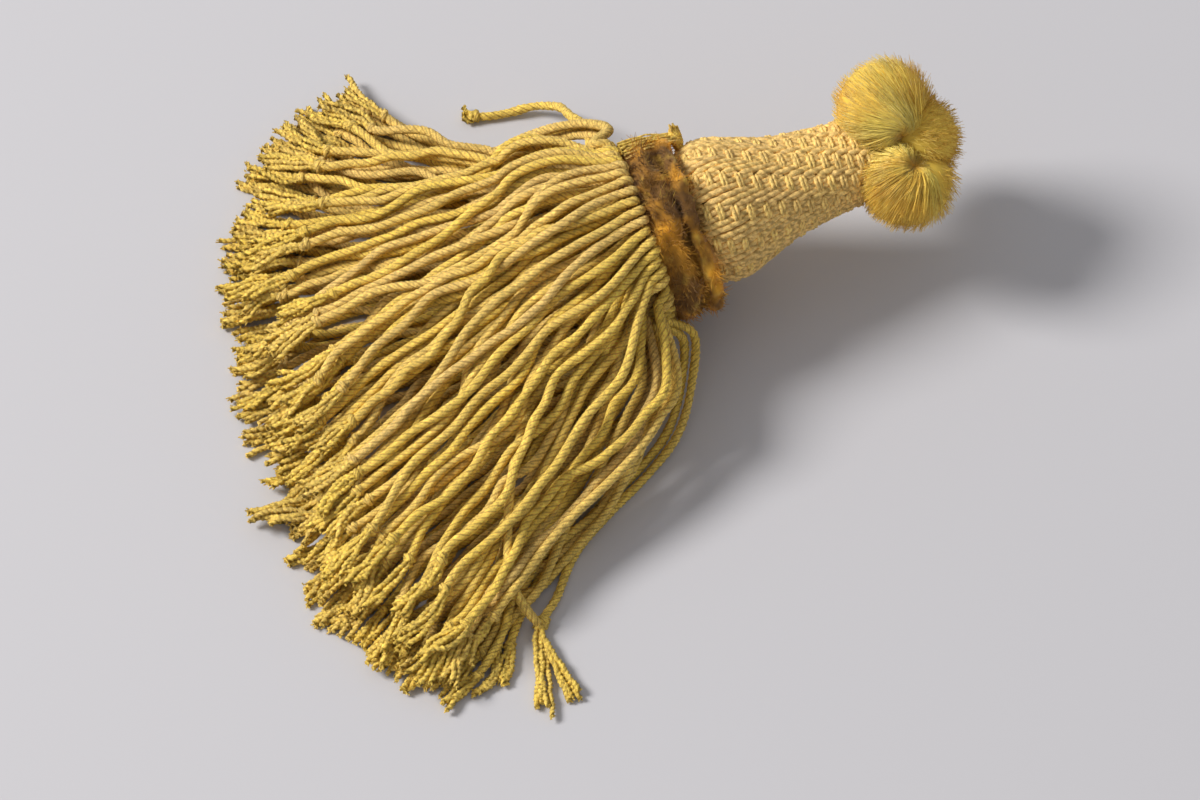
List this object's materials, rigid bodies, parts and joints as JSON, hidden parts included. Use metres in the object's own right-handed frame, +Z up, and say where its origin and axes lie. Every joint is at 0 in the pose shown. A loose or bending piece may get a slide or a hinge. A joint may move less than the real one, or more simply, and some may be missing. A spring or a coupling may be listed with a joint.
{
  "type": "tassel",
  "caption": "Silk furnishing tassel lying on its side: plaited bell-shaped head, pile collar, cut pompoms at the neck and a fanned fringe of knotted twisted cords.",
  "frame": {"origin": "middle of the footprint of the bounding box, on the surface that the tassel lies on", "axes": "+Z up; the head points mostly along +X and a little along +Y, and the fringe opens towards -X and -Y"},
  "size_m": [0.1504, 0.1476, 0.0458],
  "materials": {
    "cord_silk": "twisted silk cord, soft sheen",
    "collar_pile": "worn cut pile, matte",
    "plait_silk": "plaited silk yarn, soft sheen",
    "tie_thread": "loose silk thread",
    "pompom_silk": "cut floss silk, glossy"
  },
  "bodies": {
    "root": {"fringe": "cord_silk", "collar": "collar_pile", "head": "plait_silk", "tie_end": "tie_thread", "pompom_1": "pompom_silk", "pompom_2": "pompom_silk", "pompom_3": "pompom_silk", "pompom_4": "pompom_silk"}
  },
  "joints": []
}
